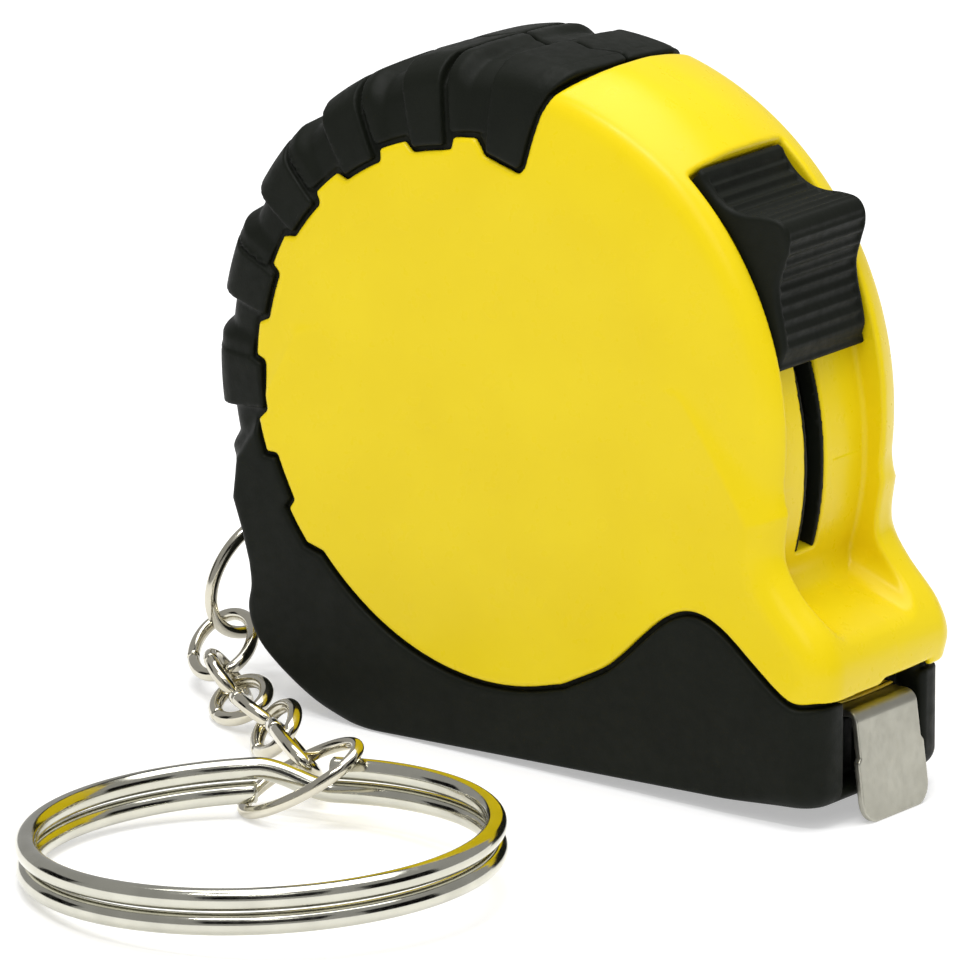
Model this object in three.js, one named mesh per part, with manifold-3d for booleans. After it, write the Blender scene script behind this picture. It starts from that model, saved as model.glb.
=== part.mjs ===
// Mini key-chain tape measure: yellow case in two halves with black tread bumpers, a thumb lock,
// a spring reel with a steel blade and end hook, and a chain with a split ring.
// Millimetres. +X points out of the mouth, +Z up, Y runs along the reel's axis.
// The origin is on the flat underside, below the reel's axis, at mid thickness.
import * as THREE from 'three';
import { mergeVertices } from 'three/addons/utils/BufferGeometryUtils.js';
import Module from 'manifold-3d';

const wasm = await Module();
wasm.setup();

// ---- driving dimensions -------------------------------------------------------------------
const HALF = 7.6;                               // half the thickness of the case
const REEL = new THREE.Vector2(0, 22.25);       // reel axis in the XZ plane
const RIM = 21.9;                               // outer radius of the yellow rim
const BASE_FRONT = 24.6;
const NOSE_FRONT = 25.1;
const SPLIT = 0.5;                              // parting plane of the two halves
const SEAM = 0.05;                              // half the gap at the parting plane
const CORE_RIM = 19.6;                          // outer radius of the shell below the tread
const CORE_HALF = 6.3;                          // half thickness of the shell below the tread
const SKIN_GAP = 0.2;                           // gap between a bumper and the shell below it
const LINE_GAP = 0.3;                           // visible groove between yellow and black
const CAVITY_RADIUS = 18.4;
const CAVITY_HALF = 5.2;

const PITCH = 19.65;                            // angle from one tread lug to the next, degrees
const FIRST_LUG = 101.3;                        // where the first full lug starts
const LUG_COUNT = 6;
const LUG_SPAN = 9.0;
const STEP_SPAN = 1.0;                          // angle taken by a lug's slanted flank
const LUG_REACH = 17.2;                         // radius of a lug's inner end on the face
const NOTCH_REACH = 17.95;                      // radius of the disc between lugs
const TREAD = new THREE.Vector2(0.3, 22.6);     // centre of the tread's outer circle
const LUG_TOP = 21.85;                          // radii about that centre
const GROOVE_TOP = 21.15;
const LUG_LEAD = 3.0;                           // a lug's top starts and ends before its inner end does
const LUG_TAIL = 0.8;
const FAR_SHIFT = -3.6;                         // the far half's lugs lie this far round

const LOCK = new THREE.Vector2(0, 20.1);        // centre of the arc that the lock slides on
const LOCK_FLOOR = 19.85;                       // channel floor radius about that centre
const LOCK_FROM = 16.5;                         // the button's lower end, degrees
const LOCK_TO = 56.5;                           // the button's upper end
const LOCK_LOW = -18;                           // lower end of the slot
const CHANNEL_LOW = -21;                        // lower end of the channel
const CHANNEL_HALF = 4.5;
const BUTTON_HALF = 4.2;
const SLOT_HALF = 0.95;
const STEM_HALF = 0.6;
const TRACK_IN = 18.0;                          // inner head's track about the lock centre
const TRACK_OUT = 18.85;

const BLADE_HALF = 3.1;
const BLADE_Z = 5.8;                            // underside of the straight blade
const BLADE_THICK = 0.2;
const COIL_OUT = 16.1;
const COIL_IN = 14.6;
const FLANGE = 16.4;
const REEL_HALF = 3.4;                          // half the drum's width between flanges

const HOOK_HALF = 3.55;
const HOOK_THICK = 0.45;
const HOOK_TIP = -1.3;                          // the hook reaches below the base
const HOOK_LEAN = 8;                            // degrees out of the vertical

const YELLOW = { color: 0xe8d228, roughness: 0.35, metalness: 0 };
const BLACK = { color: 0x24261f, roughness: 0.6, metalness: 0 };
const NICKEL = { color: 0xc9c5b8, roughness: 0.25, metalness: 1 };
const STEEL = { color: 0x8e9096, roughness: 0.35, metalness: 1 };
const BLADE = { color: 0xe6c93a, roughness: 0.4, metalness: 0.2 };
const RUBBER = { color: 0x303030, roughness: 0.9, metalness: 0 };
const NYLON = { color: 0xe9e7df, roughness: 0.5, metalness: 0 };

// ---- helpers ------------------------------------------------------------------------------
const radians = THREE.MathUtils.degToRad;

function polar(degrees, radius, centre = REEL) {
  const angle = radians(degrees);
  return new THREE.Vector2(centre.x + radius * Math.cos(angle), centre.y + radius * Math.sin(angle));
}

function arc(from, to, radius, centre = REEL, steps = Math.ceil(Math.abs(to - from) / 6)) {
  return Array.from({ length: steps + 1 }, (_, i) => polar(from + ((to - from) * i) / steps, radius, centre));
}

function solid(geometry) {
  geometry.deleteAttribute('normal');
  geometry.deleteAttribute('uv');
  const merged = mergeVertices(geometry, 1e-5);
  const mesh = new wasm.Mesh({
    numProp: 3,
    vertProperties: new Float32Array(merged.attributes.position.array),
    triVerts: new Uint32Array(merged.index.array),
  });
  return new wasm.Manifold(mesh);
}

function geometryOf(body) {
  const mesh = body.getMesh();
  const geometry = new THREE.BufferGeometry();
  geometry.setAttribute('position', new THREE.BufferAttribute(new Float32Array(mesh.vertProperties), 3));
  geometry.setIndex(new THREE.BufferAttribute(new Uint32Array(mesh.triVerts), 1));
  geometry.computeVertexNormals();
  return geometry;
}

// a slab with an outline in the XZ plane, from y = low to y = high
function slab(points, low, high, bevel = 0) {
  const shape = new THREE.Shape(points);
  const geometry = new THREE.ExtrudeGeometry(shape, {
    depth: high - low - 2 * bevel,
    bevelEnabled: bevel > 0,
    bevelThickness: bevel,
    bevelSize: bevel,
    bevelOffset: -bevel,
    bevelSegments: 3,
    curveSegments: 12,
  });
  geometry.rotateX(Math.PI / 2);
  geometry.translate(0, high - bevel, 0);
  return solid(geometry);
}

// a prism along X whose outline is given as [y, z], and one along Z with its outline as [x, y]
function prismX(shape, low, high) {
  const geometry = new THREE.ExtrudeGeometry(shape, { depth: high - low, bevelEnabled: false, curveSegments: 6 });
  geometry.rotateX(Math.PI / 2);
  geometry.rotateZ(Math.PI / 2);
  geometry.translate(low, 0, 0);
  return solid(geometry);
}

function prismZ(shape, low, high) {
  const geometry = new THREE.ExtrudeGeometry(shape, { depth: high - low, bevelEnabled: false, curveSegments: 6 });
  geometry.translate(0, 0, low);
  return solid(geometry);
}

function box(low, high) {
  const size = new THREE.Vector3().subVectors(high, low);
  const geometry = new THREE.BoxGeometry(size.x, size.y, size.z);
  geometry.translate((low.x + high.x) / 2, (low.y + high.y) / 2, (low.z + high.z) / 2);
  return solid(geometry);
}

const at = (x, y, z) => new THREE.Vector3(x, y, z);

// a cylinder along Y
function drum(centre, radius, low, high, sides = 48) {
  const geometry = new THREE.CylinderGeometry(radius, radius, high - low, sides);
  geometry.translate(centre.x, (low + high) / 2, centre.y);
  return solid(geometry);
}

function tube(curve, wireRadius, steps, sides = 8) {
  const section = new THREE.Shape();
  section.absarc(0, 0, wireRadius, 0, 2 * Math.PI);
  const geometry = new THREE.ExtrudeGeometry(section, { steps, extrudePath: curve, curveSegments: sides / 2 });
  return solid(geometry);
}

const part = new THREE.Group();

function add(name, body, look) {
  const mesh = new THREE.Mesh(geometryOf(body), new THREE.MeshStandardMaterial(look));
  mesh.name = name;
  part.add(mesh);
}

// ---- the case -----------------------------------------------------------------------------
function revolved(profile, centre) {
  const points = [
    ...profile.map(([r, y]) => new THREE.Vector2(r, y)),
    ...profile.toReversed().map(([r, y]) => new THREE.Vector2(r, -y)),
  ];
  const geometry = new THREE.LatheGeometry(points, 60);
  geometry.translate(centre.x, 0, centre.y);
  return solid(geometry);
}

function baseOutline() {
  const curve = (list) => new THREE.SplineCurve(list.map(([x, z]) => new THREE.Vector2(x, z)));
  const rear = curve([[-18.7, 7.0], [-18.4, 5.0], [-17.0, 2.9], [-13.6, 0.8], [-9.0, 0]]);
  const nose = curve([[NOSE_FRONT, 9.0], [24.6, 10.4], [22.2, 13.0], [20.9, 15.0], [20.6, 17.0]]);
  return [
    ...rear.getPoints(8),
    new THREE.Vector2(BASE_FRONT - 0.4, 0),
    new THREE.Vector2(BASE_FRONT, 0.4),
    new THREE.Vector2(BASE_FRONT, 6.4),
    new THREE.Vector2(NOSE_FRONT, 6.8),
    ...nose.getPoints(8),
    new THREE.Vector2(14, 24),
    new THREE.Vector2(-14, 14),
    new THREE.Vector2(-18.0, 9.6),
    new THREE.Vector2(-18.0, 7.9),
  ];
}

// the lower body and nose, rounded at its upright front and rear edges and along its underside
function baseBody() {
  const round = 2.2;
  const plan = new THREE.Shape();
  plan.moveTo(NOSE_FRONT - round, -HALF);
  plan.absarc(NOSE_FRONT - round, -HALF + round, round, -Math.PI / 2, 0);
  plan.absarc(NOSE_FRONT - round, HALF - round, round, 0, Math.PI / 2);
  plan.lineTo(-18.7, HALF);
  plan.lineTo(-20, HALF - 1.3);
  plan.lineTo(-20, -HALF + 1.3);
  plan.lineTo(-18.7, -HALF);
  const chamfer = 0.6;
  const section = new THREE.Shape([[-HALF, chamfer], [-HALF + chamfer, 0], [HALF - chamfer, 0], [HALF, chamfer],
    [HALF, 40], [-HALF, 40]].map(([y, z]) => new THREE.Vector2(y, z)));
  return slab(baseOutline(), -HALF, HALF)
    .intersect(prismZ(plan, -1, 40))
    .intersect(prismX(section, -30, 30));
}

// the outline of the tread, with its lugs standing proud, for one half
function treadOutline(shift) {
  const points = [];
  for (let lug = -2; lug < LUG_COUNT + 1; lug += 1) {
    const start = FIRST_LUG + shift + lug * PITCH;
    const end = start + LUG_SPAN - LUG_TAIL;
    points.push(...arc(start - LUG_LEAD, end, LUG_TOP, TREAD, 3));
    points.push(...arc(end + STEP_SPAN, start + PITCH - 2 * LUG_LEAD, GROOVE_TOP, TREAD, 1));
  }
  return points;
}

// the line between yellow and black on a face, closed round the black side; the gap moves it
// into the yellow
function blackOutline(gap) {
  const turn = THREE.MathUtils.radToDeg(gap / LUG_REACH);
  const points = [polar(76 - turn, 26), polar(76 - turn, RIM), polar(77.5 - turn, 19), polar(80.5 - turn, 16 - gap)];
  points.push(polar(90.5 + turn, 16.7 - gap));
  for (let lug = 0; lug < LUG_COUNT; lug += 1) {
    const start = FIRST_LUG + lug * PITCH;
    points.push(...arc(start - PITCH + LUG_SPAN + STEP_SPAN + turn, start - STEP_SPAN - turn, NOTCH_REACH - gap, REEL, 2));
    points.push(...arc(start - turn, start + LUG_SPAN + turn, LUG_REACH - gap, REEL, 2));
  }
  const lastNotch = FIRST_LUG + LUG_COUNT * PITCH - PITCH + LUG_SPAN + STEP_SPAN;
  points.push(...arc(lastNotch, lastNotch + LUG_SPAN, NOTCH_REACH - gap, REEL, 2));
  const skirtFrom = lastNotch + LUG_SPAN + STEP_SPAN;
  const skirtTo = 282;
  for (let i = 0; i <= 10; i += 1) {
    const t = i / 10;
    const rise = t * t * (3 - 2 * t);
    points.push(polar(skirtFrom + (skirtTo - skirtFrom) * t, LUG_REACH + 0.85 * rise - gap));
  }
  const hump = [[5.7, 5.1], [8.7, 6.6], [11.7, 9.1], [14.8, 11.1], [17.6, 10.2], [20.9, 7.5], [22.9, 6.5]];
  const humpCurve = new THREE.SplineCurve(hump.map(([x, z]) => new THREE.Vector2(x, z + gap)));
  points.push(...humpCurve.getPoints(18));
  points.push(new THREE.Vector2(27, 6.5 + gap), new THREE.Vector2(27, -3), new THREE.Vector2(-30, -3));
  points.push(new THREE.Vector2(-30, 50), new THREE.Vector2(4, 50));
  return points;
}

function coreOutline(margin) {
  return [
    new THREE.Vector2(-16.2 - margin, 9),
    new THREE.Vector2(-16.2 - margin, 6.0 - margin),
    new THREE.Vector2(-12.2 - margin, 1.7 - margin),
    new THREE.Vector2(22.8 + margin, 1.7 - margin),
    new THREE.Vector2(22.8 + margin, 9),
    new THREE.Vector2(12, 20),
    new THREE.Vector2(-12, 20),
  ];
}

function core(margin) {
  return drum(REEL, CORE_RIM + margin, -CORE_HALF - margin, CORE_HALF + margin, 60)
    .add(slab(coreOutline(margin), -CORE_HALF - margin, CORE_HALF + margin));
}

const EYELET = new THREE.Vector2(-20.2, 9.9);   // hole that the first jump ring passes through
const EYELET_HOLE = 1.85;
const EYELET_OUT = 2.85;
const EYELET_HALF = 0.8;

function eyelet() {
  const lug = drum(EYELET, EYELET_OUT, -EYELET_HALF, EYELET_HALF, 24)
    .add(box(at(EYELET.x, -EYELET_HALF, EYELET.y - EYELET_OUT), at(-15.5, EYELET_HALF, EYELET.y + EYELET_OUT)));
  return lug.subtract(drum(EYELET, EYELET_HOLE, -3, 3, 20));
}

const SCREWS = {
  case_screw_centre: REEL,
  case_screw_front: new THREE.Vector2(15, 3.1),
  case_screw_rear: new THREE.Vector2(-12.4, 5.0),
};
const SCREW_HEAD_IN = 6.0;                      // under the screw heads
const SCREW_HEAD_OUT = 7.1;
const SCREW_LENGTH = 9;

function lockChannel() {
  const ring = [...arc(CHANNEL_LOW, 58, LOCK_FLOOR, LOCK), ...arc(58, CHANNEL_LOW, 27, LOCK)];
  return slab(ring, -CHANNEL_HALF, CHANNEL_HALF);
}

function lockSlot() {
  const ring = [...arc(LOCK_LOW, 40, 17, LOCK), ...arc(40, LOCK_LOW, 21, LOCK)];
  return slab(ring, -SLOT_HALF, SLOT_HALF);
}

function lockTrack() {
  const ring = [...arc(-52, 40, TRACK_IN - 0.5, LOCK), ...arc(40, -52, TRACK_OUT, LOCK)];
  return slab(ring, -2.8, 2.8);
}

function mouth() {
  const recess = box(at(22.2, -4.3, 1.2), at(30, 4.3, 6.6));
  const tunnel = box(at(-3, -3.8, 4.4), at(25, 3.8, 7.4));
  return recess.add(tunnel);
}

function screwHoles() {
  return Object.values(SCREWS)
    .map((centre) => drum(centre, 1.95, SCREW_HEAD_IN - 0.1, 9, 24).add(drum(centre, 1.05, -4, 9, 16)))
    .reduce((all, hole) => all.add(hole));
}

const caseProfile = [[0, -HALF], [17.95, -HALF], [20.2, -7.0], [21.2, -6.2], [RIM, -4.9]];
const treadProfile = [[0, -HALF], [18.2, -HALF], [20.6, -6.9], [21.4, -6.0], [LUG_TOP, -4.4]];
const base = baseBody();
const wholeCase = revolved(caseProfile, REEL).add(base);
const yellowCase = wholeCase.subtract(slab(blackOutline(LINE_GAP), -9, 9));
const cavity = drum(REEL, CAVITY_RADIUS, -CAVITY_HALF, CAVITY_HALF, 60);
const shells = yellowCase.add(core(0)).add(eyelet())
  .subtract(cavity)
  .subtract(lockChannel())
  .subtract(lockSlot())
  .subtract(lockTrack())
  .subtract(mouth());
const nearSide = box(at(-40, -10, -5), at(40, SPLIT - SEAM, 60));
const farSide = box(at(-40, SPLIT + SEAM, -5), at(40, 10, 60));

add('near_shell', shells.intersect(nearSide).subtract(screwHoles()), YELLOW);
add('far_shell', shells.intersect(farSide).subtract(screwHoles()), YELLOW);

const blackCase = slab(blackOutline(0), -9, 9).intersect(revolved(treadProfile, TREAD).add(base));
const eyeletRecess = box(at(-30, -EYELET_HALF - 0.3, 7.0), at(-14, EYELET_HALF + 0.3, 12.8));
function bumper(side, shift) {
  const tread = slab(treadOutline(shift), -HALF, HALF);
  const lowerPart = box(at(-30, -9, -3), at(30, 9, 12.2));
  return blackCase.intersect(tread.add(lowerPart)).intersect(side)
    .subtract(core(SKIN_GAP))
    .subtract(eyeletRecess)
    .subtract(mouth())
    .subtract(screwHoles());
}
add('near_bumper', bumper(nearSide, 0), BLACK);
add('far_bumper', bumper(farSide, FAR_SHIFT), BLACK);

// ---- the lock -----------------------------------------------------------------------------
function lockButton() {
  const crest = [[19, 21.7], [24, 22.15], [29, 22.6], [31.8, 23.1], [33.8, 24.1], [36.3, 25.0], [39, 25.1],
    [42, 23.5], [45, 22.5], [49, 22.1]];
  const outline = [
    ...arc(LOCK_FROM, LOCK_TO, LOCK_FLOOR + 0.15, LOCK),
    polar(LOCK_TO, 22.0, LOCK),
    ...crest.toReversed().map(([degrees, radius]) => polar(degrees, radius, LOCK)),
    polar(LOCK_FROM, 21.3, LOCK),
  ];
  return slab(outline, -BUTTON_HALF, BUTTON_HALF, 0.25);
}

function lockSlider() {
  const head = slab([...arc(17, 38, TRACK_IN + 0.1, LOCK), ...arc(38, 17, TRACK_OUT - 0.1, LOCK)], -2.5, 2.5);
  const arm = slab([...arc(-15, 20, TRACK_IN + 0.1, LOCK), ...arc(20, -15, TRACK_OUT - 0.1, LOCK)], -1.6, 1.6);
  const stem = slab([...arc(18, 37, TRACK_OUT - 0.4, LOCK), ...arc(37, 18, LOCK_FLOOR + 0.05, LOCK)],
    -STEM_HALF, STEM_HALF);
  return head.add(arm).add(stem);
}

function brakePad() {
  const ring = [...arc(-18.6, -15.6, TRACK_IN + 0.1, LOCK, 2), ...arc(-15.6, -18.6, TRACK_OUT - 0.1, LOCK, 2)];
  return slab(ring, -2.4, 2.4);
}

add('lock_button', lockButton(), BLACK);
add('lock_slider', lockSlider(), BLACK);
add('brake_pad', brakePad(), RUBBER);

// ---- the reel -----------------------------------------------------------------------------
const SPINDLE = 2.3;

function reelSpindle() {
  const slotCut = box(at(-0.25, -2.8, REEL.y), at(0.25, 2.8, REEL.y + 4));
  return drum(REEL, SPINDLE, -5.0, 5.0, 32).subtract(slotCut).subtract(drum(REEL, 1.05, -3.4, 6, 16));
}

function reelDrum() {
  const wall = drum(REEL, 14.4, -REEL_HALF, REEL_HALF, 48).subtract(drum(REEL, 13.5, -4, 4, 48));
  return wall.add(drum(REEL, FLANGE, -REEL_HALF - 0.7, -REEL_HALF, 48).subtract(drum(REEL, 2.7, -6, 6, 24)));
}

function drumCap() {
  return drum(REEL, FLANGE, REEL_HALF + 0.1, REEL_HALF + 0.8, 48).subtract(drum(REEL, 2.7, -6, 6, 24));
}

function tapeCoil() {
  return drum(REEL, COIL_OUT, -BLADE_HALF, BLADE_HALF, 60).subtract(drum(REEL, COIL_IN, -4, 4, 48));
}

// a flat spiral strip, from just outside the spindle to just inside the drum
function powerSpring() {
  const turns = 7;
  const inner = 3.2;
  const outer = 12.9;
  const thickness = 0.3;
  const steps = turns * 20;
  const edge = (offset) => Array.from({ length: steps + 1 }, (_, i) => {
    const t = i / steps;
    return polar(90 + 360 * turns * t, inner + (outer - inner) * t + offset);
  });
  return slab([...edge(0), ...edge(thickness).toReversed()], -2.9, 2.9);
}

add('reel_spindle', reelSpindle(), STEEL);
add('reel_drum', reelDrum(), NYLON);
add('drum_cap', drumCap(), NYLON);
add('tape_coil', tapeCoil(), BLADE);
add('power_spring', powerSpring(), STEEL);

// ---- the blade and hook -------------------------------------------------------------------
const RIVET_X = 19.6;
const RIVET_Y = 1.6;
const RIVET_SHANK = 0.45;

function rivetHoles(radius, low, high) {
  return [-RIVET_Y, RIVET_Y].map((y) => rivetPin(y, radius, low, high)).reduce((a, b) => a.add(b));
}

function rivetPin(y, radius, low, high) {
  const geometry = new THREE.CylinderGeometry(radius, radius, high - low, 16);
  geometry.rotateX(Math.PI / 2);
  geometry.translate(RIVET_X, y, (low + high) / 2);
  return solid(geometry);
}

function tapeBlade() {
  return box(at(1, -BLADE_HALF, BLADE_Z), at(23.0, BLADE_HALF, BLADE_Z + BLADE_THICK))
    .subtract(rivetHoles(RIVET_SHANK + 0.1, 4, 8));
}

function endHook() {
  const tabTop = BLADE_Z - 0.05;
  const tabLow = tabTop - HOOK_THICK;
  const lean = Math.tan(radians(HOOK_LEAN));
  const face = (z) => 24.72 + (1.3 - z) * lean;  // inner face of the hanging plate
  const skin = HOOK_THICK / Math.cos(radians(HOOK_LEAN));
  const outline = [
    [17.6, tabLow], [17.6, tabTop], [face(tabLow) - 0.15, tabTop],
    [face(tabLow) + skin * 0.62, tabTop - 0.16], [face(tabLow - 0.3) + skin, tabLow - 0.15],
    [face(HOOK_TIP) + skin, HOOK_TIP], [face(HOOK_TIP), HOOK_TIP], [face(tabLow - 0.4), tabLow - 0.4],
    [face(tabLow) - 0.35, tabLow],
  ].map(([x, z]) => new THREE.Vector2(x, z));
  const plate = slab(outline, -HOOK_HALF, HOOK_HALF);
  return plate.intersect(hookFront()).subtract(rivetHoles(RIVET_SHANK + 0.1, 4, 8));
}

// the hook seen from the front, with rounded lower corners
function hookFront() {
  const round = 1.5;
  const top = 7;
  const shape = new THREE.Shape();
  shape.moveTo(-HOOK_HALF, top);
  shape.lineTo(-HOOK_HALF, HOOK_TIP + round);
  shape.absarc(-HOOK_HALF + round, HOOK_TIP + round, round, Math.PI, 1.5 * Math.PI);
  shape.absarc(HOOK_HALF - round, HOOK_TIP + round, round, 1.5 * Math.PI, 2 * Math.PI);
  shape.lineTo(HOOK_HALF, top);
  return prismX(shape, 16, 30);
}

function hookRivet(y) {
  const tabLow = BLADE_Z - 0.05 - HOOK_THICK;
  const bladeTop = BLADE_Z + BLADE_THICK;
  return rivetPin(y, RIVET_SHANK, tabLow - 0.3, bladeTop + 0.3)
    .add(rivetPin(y, 0.9, tabLow - 0.35, tabLow - 0.05))
    .add(rivetPin(y, 0.9, bladeTop + 0.05, bladeTop + 0.35));
}

add('tape_blade', tapeBlade(), BLADE);
add('end_hook', endHook(), NICKEL);
add('hook_rivet_left', hookRivet(-RIVET_Y), STEEL);
add('hook_rivet_right', hookRivet(RIVET_Y), STEEL);

// ---- the screws ---------------------------------------------------------------------------
function caseScrew(centre) {
  const length = centre === REEL ? 9.2 : SCREW_LENGTH;
  const arm = (wide, tall) => box(at(centre.x - wide, 6.6, centre.y - tall), at(centre.x + wide, 8, centre.y + tall));
  return drum(centre, 1.75, SCREW_HEAD_IN, SCREW_HEAD_OUT, 24)
    .add(drum(centre, 0.9, SCREW_HEAD_OUT - length, SCREW_HEAD_IN + 0.2, 12))
    .subtract(arm(1.0, 0.22))
    .subtract(arm(0.22, 1.0));
}

for (const [name, centre] of Object.entries(SCREWS)) add(name, caseScrew(centre), STEEL);

// ---- the chain ----------------------------------------------------------------------------
// Each link is an oval of round wire with a fine cut in it. It starts at the middle of the wire
// that hooks round the link before it and ends at the middle of the wire that holds the next.
class OvalPath extends THREE.Curve {
  constructor(start, end, side, halfWidth) {
    super();
    this.middle = start.clone().lerp(end, 0.5);
    this.along = end.clone().sub(start).multiplyScalar(0.5);
    this.side = side.clone().multiplyScalar(halfWidth);
  }

  getPoint(t, target = new THREE.Vector3()) {
    const cut = 0.012;                          // half of the cut, as a share of the turn
    const angle = Math.PI / 2 + 2 * Math.PI * (cut + t * (1 - 2 * cut));
    return target.copy(this.middle)
      .addScaledVector(this.along, Math.cos(angle))
      .addScaledVector(this.side, Math.sin(angle));
  }
}

// A link's lean is the angle of its plane out of the horizontal, about its own length.
const CHAIN_SLACK = 0.32;
const RING_LINK_WIRE = 0.85;
const CURB_WIRE = 0.95;
const CURB_HALF_WIDTH = 1.7;
const chainLinks = [
  { name: 'case_jump_ring', wire: RING_LINK_WIRE, halfWidth: 3.1, lean: -82.4, end: at(-22.87, -4.14, 3.8) },
  { name: 'chain_ring', wire: RING_LINK_WIRE, halfWidth: 2.1, lean: -27.7, end: at(-19.38, -8.46, 2.39) },
  { name: 'curb_link_1', wire: CURB_WIRE, halfWidth: CURB_HALF_WIDTH, lean: 49, end: at(-17.08, -10.6, 1.76) },
  { name: 'curb_link_2', wire: CURB_WIRE, halfWidth: CURB_HALF_WIDTH, lean: -31.9, end: at(-14.11, -12.63, 1.67) },
  { name: 'curb_link_3', wire: CURB_WIRE, halfWidth: CURB_HALF_WIDTH, lean: 39.5, end: at(-11.02, -15.09, 1.91) },
  { name: 'curb_link_4', wire: CURB_WIRE, halfWidth: CURB_HALF_WIDTH, lean: -51, end: at(-7.36, -18.56, 2.38) },
  { name: 'curb_link_5', wire: CURB_WIRE, halfWidth: CURB_HALF_WIDTH, lean: 49.1, end: at(-1.88, -23.85, 2.76) },
  { name: 'key_jump_ring', wire: RING_LINK_WIRE, halfWidth: 4.2, lean: -30, end: at(-0.32, -27.65, 1.68) },
];

function buildChain() {
  const up = at(0, 0, 1);
  let held = at(EYELET.x + 0.1, 0.65, EYELET.y + 0.3);
  let heldWire = 0;
  let hinge = { pivot: at(EYELET.x, 0, EYELET.y), axis: at(0, 1, 0) };
  const joints = [];
  for (const link of chainLinks) {
    const along = link.end.clone().sub(held).normalize();
    const gap = heldWire > 0 ? (heldWire + link.wire) / 2 + CHAIN_SLACK : 0;
    const start = held.clone().addScaledVector(along, -gap);
    const across = new THREE.Vector3().crossVectors(along, up).normalize();
    across.applyAxisAngle(along, -radians(link.lean));
    const steps = link.halfWidth > 3 ? 40 : 28;
    add(link.name, tube(new OvalPath(start, link.end, across, link.halfWidth), link.wire / 2, steps), NICKEL);
    joints.push({ name: link.name, ...hinge });
    held = link.end.clone();
    heldWire = link.wire;
    const away = link.lean > 0 ? -1 : 1;        // a positive turn swings the ring away from the case
    hinge = { pivot: held.clone(), axis: across.clone().multiplyScalar(away) };
  }
  return joints;
}

// the split ring: two flat turns of wire, one on the other, joined by a short crossover
const RING_CENTRE = at(5.02, -37.81, 2.25);
const RING_RADIUS = 14.05;
const RING_WIRE = 1.4;
const RING_SPACING = 1.5;                       // between the middles of the two turns
const RING_TILT = -2.43;                        // it follows the surface, which the hook tip lowers
const CROSSOVER_AT = 118;                       // degrees round the ring
const CROSSOVER_HALF = 10;
const WIRE_END = 9.5;                          // degrees from the crossover to each end of the wire

class RingPath extends THREE.Curve {
  getPoint(t, target = new THREE.Vector3()) {
    const turned = WIRE_END + (720 - 2 * WIRE_END) * t;
    const crossed = THREE.MathUtils.smoothstep(turned - 360, -CROSSOVER_HALF, CROSSOVER_HALF);
    const angle = radians(CROSSOVER_AT + turned);
    return target.set(RING_RADIUS * Math.cos(angle), RING_RADIUS * Math.sin(angle), RING_SPACING * (crossed - 0.5))
      .applyAxisAngle(at(-0.574, 0.819, 0), radians(RING_TILT))
      .add(RING_CENTRE);
  }
}

// where each link turns on the one before it; the split ring turns about its own wire
export const chainJoints = buildChain();
const towardsJumpRing = at(-0.473, 0.881, 0);
chainJoints.push({
  name: 'split_ring',
  pivot: RING_CENTRE.clone().addScaledVector(towardsJumpRing, RING_RADIUS),
  axis: at(-towardsJumpRing.y, towardsJumpRing.x, 0),
});
add('split_ring', tube(new RingPath(), RING_WIRE / 2, 150, 10), NICKEL);

export default part;
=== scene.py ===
"""Looks of a mini key-chain tape measure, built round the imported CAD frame.

Shape functions work in millimetres and give a signed distance: negative inside the material.
Everything that reaches Blender is in metres, in the row frame: +X out of the mouth, +Z up.
"""
import functools
import itertools
import math

import bmesh
import bpy
import numpy as np
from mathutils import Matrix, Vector


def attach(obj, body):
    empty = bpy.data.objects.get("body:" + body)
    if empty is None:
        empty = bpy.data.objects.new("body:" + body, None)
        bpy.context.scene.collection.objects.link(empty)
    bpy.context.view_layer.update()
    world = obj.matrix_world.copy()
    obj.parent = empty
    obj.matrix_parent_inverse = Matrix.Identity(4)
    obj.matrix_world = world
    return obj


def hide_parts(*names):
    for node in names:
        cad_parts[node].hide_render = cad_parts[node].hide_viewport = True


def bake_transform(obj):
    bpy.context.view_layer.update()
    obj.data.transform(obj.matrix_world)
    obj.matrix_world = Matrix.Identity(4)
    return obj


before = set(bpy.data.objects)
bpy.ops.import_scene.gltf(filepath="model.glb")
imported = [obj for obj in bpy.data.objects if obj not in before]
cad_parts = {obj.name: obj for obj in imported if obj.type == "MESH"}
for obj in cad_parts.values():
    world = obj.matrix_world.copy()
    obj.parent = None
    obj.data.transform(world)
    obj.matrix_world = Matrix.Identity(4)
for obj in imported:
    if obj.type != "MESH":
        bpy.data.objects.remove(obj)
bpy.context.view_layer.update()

MM = 0.001

# ---- driving dimensions, as in the CAD, in mm ---------------------------------------------
HALF = 7.58                     # half the thickness of the case, a hair inside the CAD's
REEL = (0.0, 22.25)             # reel axis in the XZ plane
RIM = 21.9                      # radius of the yellow rim
TREAD = (-0.15, 22.2)           # centre of the tread's outer circle
TREAD_RIM = 21.85               # radius of its lugs about that centre
RECESS = 0.7                    # how far the tread falls between lugs
PITCH = 19.65                   # degrees from one lug to the next
FIRST_LUG = 101.3               # where the first full lug starts on the near face
LUG_COUNT = 6
LUG_SPAN = 9.0                  # degrees that a lug takes up on the face
LUG_REACH = 17.2                # how far in a lug reaches on the face, as a radius
NOTCH_REACH = 17.95             # how far in the black reaches between lugs
NOSE_FRONT = 24.95
BASE_FRONT = 24.5
LINE_GAP = 0.34                 # width of the dark line between yellow and black
SEAM_Y = 0.5                    # parting plane of the yellow halves
SEAM_LAP = 0.34                 # the halves reach past each other by this, to hide the seam
LOCK = (0.0, 20.1)              # centre of the arc the lock slides on
LOCK_Y = -0.7                   # middle of the channel across the case
LOCK_FLOOR = 20.1               # radius of the lower end of the channel's floor
CHANNEL_TOP = 53.3              # degrees about the lock's centre
CHANNEL_FOOT = -21.5
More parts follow.
